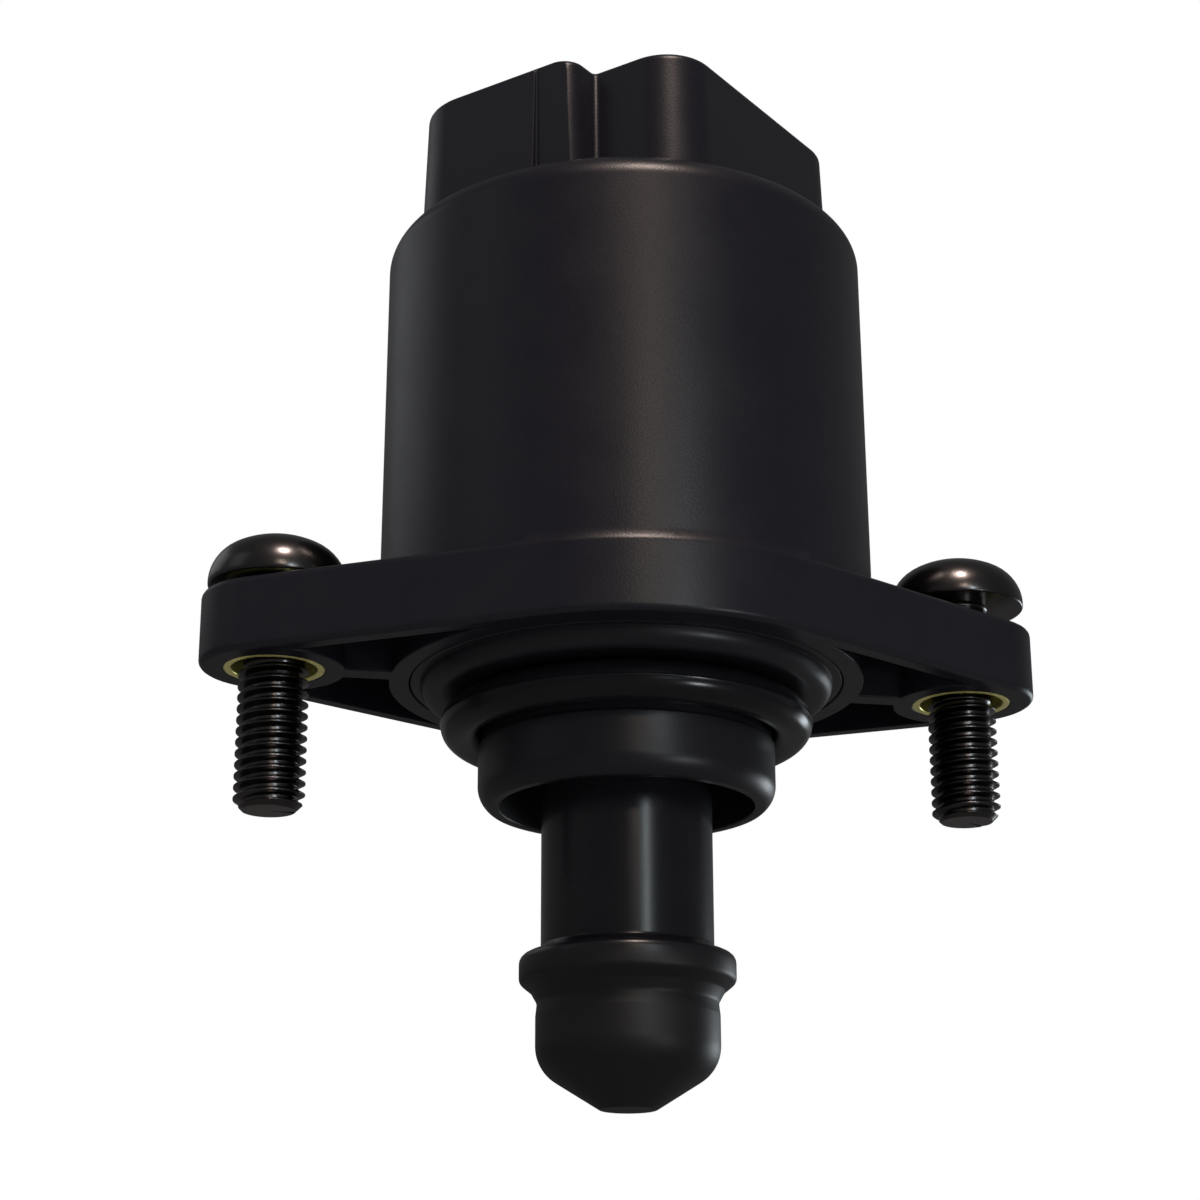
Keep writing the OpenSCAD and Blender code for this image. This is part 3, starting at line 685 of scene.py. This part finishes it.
def threadTree():
    # rows of a grid follow the helix: every row keeps its place on the thread's profile
    tree = bpy.data.node_groups.new("rolledThread", "GeometryNodeTree")
    lengths = ("Start", "End", "Pitch", "Crest", "Root", "Tip", "Neck", "Fade")
    given = sockets(tree, lengths, ("Around", "Steps"))
    links, nodes = tree.links, tree.nodes
    length = worked(tree, "SUBTRACT", given["Start"], given["End"])
    turns = worked(tree, "ADD", worked(tree, "DIVIDE", length, given["Pitch"]), 1)
    rows = worked(tree, "CEIL", worked(tree, "MULTIPLY", turns, given["Steps"]))
    grid = nodes.new("GeometryNodeMeshGrid")
    grid.inputs["Size X"].default_value = 1
    grid.inputs["Size Y"].default_value = 1
    links.new(worked(tree, "ADD", given["Around"], 1), grid.inputs["Vertices X"])
    links.new(worked(tree, "ADD", rows, 1), grid.inputs["Vertices Y"])
    where = nodes.new("ShaderNodeSeparateXYZ")
    links.new(nodes.new("GeometryNodeInputPosition").outputs[0], where.inputs[0])
    u = worked(tree, "ADD", where.outputs[0], 0.5)
    v = worked(tree, "ADD", where.outputs[1], 0.5)
    row = worked(tree, "ROUND", worked(tree, "MULTIPLY", v, rows))
    share = worked(tree, "DIVIDE", row, given["Steps"])
    turn = worked(tree, "ADD", worked(tree, "SUBTRACT", share, 1), u)
    climbed = worked(tree, "MULTIPLY", turn, given["Pitch"])
    fromTip = worked(tree, "MINIMUM", worked(tree, "MAXIMUM", climbed, 0), length)
    z = worked(tree, "ADD", given["End"], fromTip)
    flank = nodes.new("ShaderNodeMapRange")
    links.new(worked(tree, "MULTIPLY", worked(tree, "PINGPONG", share, 0.5), 2), flank.inputs["Value"])
    flank.inputs["From Min"].default_value = threadForm["root"]
    flank.inputs["From Max"].default_value = threadForm["crest"]
    height = worked(tree, "SUBTRACT", given["Crest"], given["Root"])
    radius = worked(tree, "MULTIPLY_ADD", height, flank.outputs[0], given["Root"])
    radius = worked(tree, "MINIMUM", radius, worked(tree, "ADD", given["Tip"], fromTip))
    fade = nodes.new("ShaderNodeMapRange")
    fade.interpolation_type = "SMOOTHSTEP"
    links.new(worked(tree, "SUBTRACT", length, fromTip), fade.inputs["Value"])
    links.new(given["Fade"], fade.inputs["From Max"])
    over = worked(tree, "SUBTRACT", radius, given["Neck"])
    radius = worked(tree, "MULTIPLY_ADD", over, fade.outputs[0], given["Neck"])
    radius = worked(tree, "MULTIPLY", radius, worked(tree, "GREATER_THAN", row, 0.5))
    move = nodes.new("GeometryNodeSetPosition")
    links.new(grid.outputs["Mesh"], move.inputs["Geometry"])
    links.new(onCircle(tree, radius, u, z), move.inputs["Position"])
    return finishTree(tree, given, move.outputs[0])


def coilTree():
    # round wire wound on a cylinder; its first and last turns can lie closed
    tree = bpy.data.node_groups.new("woundWire", "GeometryNodeTree")
    given = sockets(tree, ("Low", "High", "Radius", "Wire", "Turns", "Closed"), ("Steps", "Sides"))
    links, nodes = tree.links, tree.nodes
    line = nodes.new("GeometryNodeCurvePrimitiveLine")
    points = nodes.new("GeometryNodeResampleCurve")
    links.new(line.outputs[0], points.inputs["Curve"])
    count = worked(tree, "ADD", worked(tree, "MULTIPLY", given["Turns"], given["Steps"]), 1)
    links.new(count, points.inputs["Count"])
    along = nodes.new("GeometryNodeSplineParameter").outputs["Factor"]
    turn = worked(tree, "MULTIPLY", along, given["Turns"])
    height = worked(tree, "SUBTRACT", given["High"], given["Low"])
    shut = worked(tree, "MULTIPLY", given["Wire"], given["Closed"])
    free = worked(tree, "SUBTRACT", height, worked(tree, "MULTIPLY", shut, 2))
    openTurns = worked(tree, "SUBTRACT", given["Turns"], worked(tree, "MULTIPLY", given["Closed"], 2))
    slope = worked(tree, "DIVIDE", free, openTurns)
    middle = worked(tree, "MULTIPLY_ADD", worked(tree, "SUBTRACT", turn, given["Closed"]), slope, shut)
    first = worked(tree, "MULTIPLY", given["Wire"], turn)
    left = worked(tree, "SUBTRACT", given["Turns"], turn)
    last = worked(tree, "SUBTRACT", height, worked(tree, "MULTIPLY", given["Wire"], left))
    rise = worked(tree, "MINIMUM", worked(tree, "MAXIMUM", first, middle), last)
    move = nodes.new("GeometryNodeSetPosition")
    links.new(points.outputs[0], move.inputs["Geometry"])
    level = worked(tree, "ADD", given["Low"], rise)
    links.new(onCircle(tree, given["Radius"], turn, level), move.inputs["Position"])
    section = nodes.new("GeometryNodeCurvePrimitiveCircle")
    links.new(given["Sides"], section.inputs["Resolution"])
    links.new(worked(tree, "DIVIDE", given["Wire"], 2), section.inputs["Radius"])
    tube = nodes.new("GeometryNodeCurveToMesh")
    tube.inputs["Fill Caps"].default_value = True
    links.new(move.outputs[0], tube.inputs["Curve"])
    links.new(section.outputs["Curve"], tube.inputs["Profile Curve"])
    return finishTree(tree, given, tube.outputs[0])


def grow(obj, tree, finish, **sizes):
    # runs a tree on the object with its inputs set by identifier, and keeps the result as a plain mesh
    mod = obj.modifiers.new(tree.name, "NODES")
    mod.node_group = tree
    for item in tree.interface.items_tree:
        if item.in_out == "INPUT" and item.name in sizes:
            mod[item.identifier] = sizes[item.name]
        if item.in_out == "INPUT" and item.name == "Material":
            mod[item.identifier] = materials[finish]
    makePlain(obj)
    bm = bmesh.new()
    bm.from_mesh(obj.data)
    bmesh.ops.recalc_face_normals(bm, faces=bm.faces)
    bm.to_mesh(obj.data)
    bm.free()
    return obj


rolledThread = threadTree()
woundWire = coilTree()
print("thread and coil trees built")


# Captive screws: domed head with a six-lobed recess, thin neck, rolled M5 thread

screw = {
    "spacing": 50, "bushTop": 5.6, "length": 16, "head": 4.9, "rim": 1.8, "rimRound": 3.0, "height": 3.8,
    "neckRound": 0.2, "rimEdge": 0.15, "rimDraft": 0.02, "domeInner": 2.6, "mouth": 0.16,
    "lobes": 6, "recess": 1.82, "lobe": 0.27, "recessDepth": 2.4, "taper": (0.03, 0.13),
    "floorEdge": 0.1, "pitShare": 0.4, "pitEdge": 0.3, "pitDepth": 0.42,
    "neck": 2.15, "threadStart": 0.2, "fade": 0.5, "crest": 2.47, "root": 2.01, "tip": 1.85, "pitch": 0.8,
    "liftLeft": 0.3, "liftRight": 1.6, "turnLeft": 11, "turnRight": 38, "around": 72, "steps": 16,
    "fineness": 0.06, "rimSteps": 10, "domeSteps": 8, "blendSteps": 6, "mouthSteps": 4,
}


def screwHead(name, seat):
    # rings from the neck up over the dome and down into the recess
    q = screw
    rise, around = q["height"] - q["rim"], q["around"]
    domeR = (q["head"] ** 2 + rise ** 2) / (2 * rise)
    domeZ = seat + q["height"] - domeR
    inner = q["head"] - q["rimRound"]
    rimZ = domeZ + math.sqrt((domeR - q["rimRound"]) ** 2 - inner ** 2)
    domeA = math.atan2(rimZ - domeZ, inner)
    angles = [2 * math.pi * k / around for k in range(around)]

    def circle(radius, height):
        return [(radius(a) * math.cos(a), radius(a) * math.sin(a), height(a)) for a in angles]

    def onDome(r):
        return domeZ + math.sqrt(domeR ** 2 - r ** 2)

    def lobed(extra):
        return lambda a: q["recess"] + extra + q["lobe"] * math.cos(q["lobes"] * a)

    profile = softCorners([
        (q["neck"], q["threadStart"], 0), (q["neck"], seat, q["neckRound"]),
        (q["head"] - q["rimDraft"], seat, q["rimEdge"]), (q["head"], rimZ, 0),
    ], closed=False, fineness=q["fineness"])
    profile += [(inner + q["rimRound"] * math.cos(t), rimZ + q["rimRound"] * math.sin(t))
                for t in (domeA * k / q["rimSteps"] for k in range(1, q["rimSteps"] + 1))]
    start = profile[-1][0]
    rings = [circle(lambda a, r=r: r, lambda a, z=z: z) for r, z in profile]
    for step in range(1, q["domeSteps"] + 1):
        r = start + (q["domeInner"] - start) * step / q["domeSteps"]
        rings.append(circle(lambda a: r, lambda a: onDome(r)))
    mouth = lobed(q["mouth"])
    for step in range(1, q["blendSteps"] + 1):
        def blend(a):
            return q["domeInner"] + (mouth(a) - q["domeInner"]) * step / q["blendSteps"]
        rings.append(circle(blend, lambda a: onDome(blend(a))))
    for t in quarterTurn(q["mouthSteps"])[1:]:
        drop = q["mouth"] * (1 - math.cos(t))
        rings.append(circle(lobed(q["mouth"] * (1 - math.sin(t))), lambda a: onDome(mouth(a)) - drop))
    floor = seat + q["height"] - q["recessDepth"]
    above, at = (lobed(-taper) for taper in q["taper"])
    rings.append(circle(above, lambda a: floor + q["floorEdge"]))
    rings.append(circle(at, lambda a: floor))
    rings.append(circle(lambda a: at(a) * q["pitShare"], lambda a: floor - q["pitEdge"]))
    rings.append([(0, 0, floor - q["pitDepth"])])
    return loft(name, rings, openStart=True)


def makeScrew(name, node, side, lift, turn):
    q = screw
    seat = q["bushTop"] + lift
    body = screwHead(name, seat)
    grow(body, rolledThread, "blackOxide", Start=q["threadStart"] * mm, End=(seat - q["length"]) * mm,
         Pitch=q["pitch"] * mm, Crest=q["crest"] * mm, Root=q["root"] * mm, Tip=q["tip"] * mm,
         Neck=q["neck"] * mm, Fade=q["fade"] * mm, Around=q["around"], Steps=q["steps"])
    body.data.transform(Matrix.Rotation(math.radians(turn), 4, "Z"))
    body.data.transform(Matrix.Translation((side * q["spacing"] / 2 * mm, 0, 0)))
    smoothOver(body, "thread")
    settle(body, "blackOxide", "housing", node)


# Bushes in the ears

bush = {
    "spacing": 50, "bore": 3.0, "radius": 3.55, "low": 0, "top": 5.6,
    "edge": 0.12, "fineness": 0.04, "segments": 128,
}


def makeBush(name, node, side):
    e = bush["edge"]
    body = lathe(name, softCorners([
        (bush["bore"], bush["low"], e), (bush["radius"], bush["low"], e),
        (bush["radius"], bush["top"], e), (bush["bore"], bush["top"], e),
    ], fineness=bush["fineness"]), loop=True, segments=bush["segments"])
    body.data.transform(Matrix.Translation((side * bush["spacing"] / 2 * mm, 0, 0)))
    smoothOver(body)
    settle(body, "yellowZinc", "housing", node)


# Inside: lead screw, return spring and the two windings

lead = {
    "radius": 2.46, "chamfer": 0.2, "root": 2.0, "pitch": 1.0, "tip": 1.8, "plain": 6.0,
    "around": 48, "steps": 16,
}


def makeLeadScrew():
    low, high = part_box("lead_screw")
    length, plain, chamfer = (high.z - low.z) / mm, lead["plain"], lead["chamfer"]
    # built tip down and then turned over
    turns = [2 * math.pi * k / lead["around"] for k in range(lead["around"])]
    body = loft("leadScrew", [[(0, 0, 0)]] + [
        [(r * math.cos(a), r * math.sin(a), z) for a in turns]
        for r, z in ((lead["radius"] - chamfer, 0), (lead["radius"], -chamfer), (lead["radius"], -plain))
    ], openEnd=True)
    grow(body, rolledThread, "rolledSteel", Start=-plain * mm, End=-length * mm, Pitch=lead["pitch"] * mm,
         Crest=lead["radius"] * mm, Root=lead["root"] * mm, Tip=lead["tip"] * mm, Neck=lead["radius"] * mm,
         Fade=lead["pitch"] * mm, Around=lead["around"], Steps=lead["steps"])
    body.data.transform(Matrix.Translation((0, 0, low.z)) @ Matrix.Rotation(math.pi, 4, "X"))
    smoothOver(body, "thread")
    settle(body, "rolledSteel", "plunger", "lead_screw")


spring = {
    "wire": 0.7, "radius": 3.5, "turns": 9, "closed": 1, "seat": 3.2, "floor": -17.6, "play": 0.05,
    "travel": 9.25, "steps": 40, "sides": 14,
}


def makeSpring():
    body = newObject("returnSpring", bmesh.new())
    half = spring["wire"] / 2 + spring["play"]
    grow(body, woundWire, "springWire", Low=(spring["floor"] + half) * mm, High=(spring["seat"] - half) * mm,
         Radius=spring["radius"] * mm, Wire=spring["wire"] * mm, Turns=float(spring["turns"]),
         Closed=float(spring["closed"]), Steps=spring["steps"], Sides=spring["sides"])
    smoothOver(body, "coil")
    settle(body, "springWire", "rotor", "return_spring")
    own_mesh(body)


winding = {"wire": 0.30, "gap": 0.012, "inner": 11.6, "sunk": 0.8, "segments": 96, "steps": 64, "sides": 8}


def makeWinding(name, node):
    low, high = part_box(node)
    z0, z1, outer, wire = low.z / mm, high.z / mm, high.x / mm, winding["wire"]
    # the turns are sunk into a core that closes the gaps between them
    inner, core = winding["inner"], outer - wire * winding["sunk"]
    body = lathe(name, [(inner, z0), (core, z0), (core, z1), (inner, z1)], loop=True,
                 segments=winding["segments"])
    turns = math.floor((z1 - z0 - wire) / (wire + winding["gap"]))
    grow(body, woundWire, "enamelledCopper", Low=(z0 + wire / 2) * mm, High=(z1 - wire / 2) * mm,
         Radius=(outer - wire / 2) * mm, Wire=wire * mm, Turns=float(turns), Closed=0.0,
         Steps=winding["steps"], Sides=winding["sides"])
    smoothOver(body, "coil")
    settle(body, "enamelledCopper", "housing", node)


# Finishes of the CAD pieces that are shown as they are

nodeFinishes = {
    "tinnedContact": ["terminal_1", "terminal_2", "terminal_3", "terminal_4"],
    "polishedSteel": ["outer_race", "inner_race", "balls"],
    "brownNylon": ["ball_cage"],
    "sheetSteel": ["lower_cup", "upper_cup", "lower_pole_plate", "upper_pole_plate"],
    "naturalNylon": ["lower_bobbin", "upper_bobbin"],
    "bronze": ["rear_bush", "drive_nut"],
    "rotorBlack": ["rotor_hub"],
    "ferrite": ["magnet"],
}

placeCamera()
lightStudio()
print("camera and lamps set:", len(lamps), "lamps")
makeHousing()
makeNoseGuide()
makeSealRing()
makePlunger()
makeScrew("leftScrew", "screw_left", -1, screw["liftLeft"], screw["turnLeft"])
makeScrew("rightScrew", "screw_right", 1, screw["liftRight"], screw["turnRight"])
makeBush("leftBush", "bush_left", -1)
makeBush("rightBush", "bush_right", 1)
makeLeadScrew()
makeSpring()
makeWinding("lowerWinding", "lower_winding")
makeWinding("upperWinding", "upper_winding")
for finish, names in nodeFinishes.items():
    for name in names:
        dress(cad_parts[name], finish)
print("inner pieces dressed")

bpy.context.scene.view_settings.view_transform = "Standard"
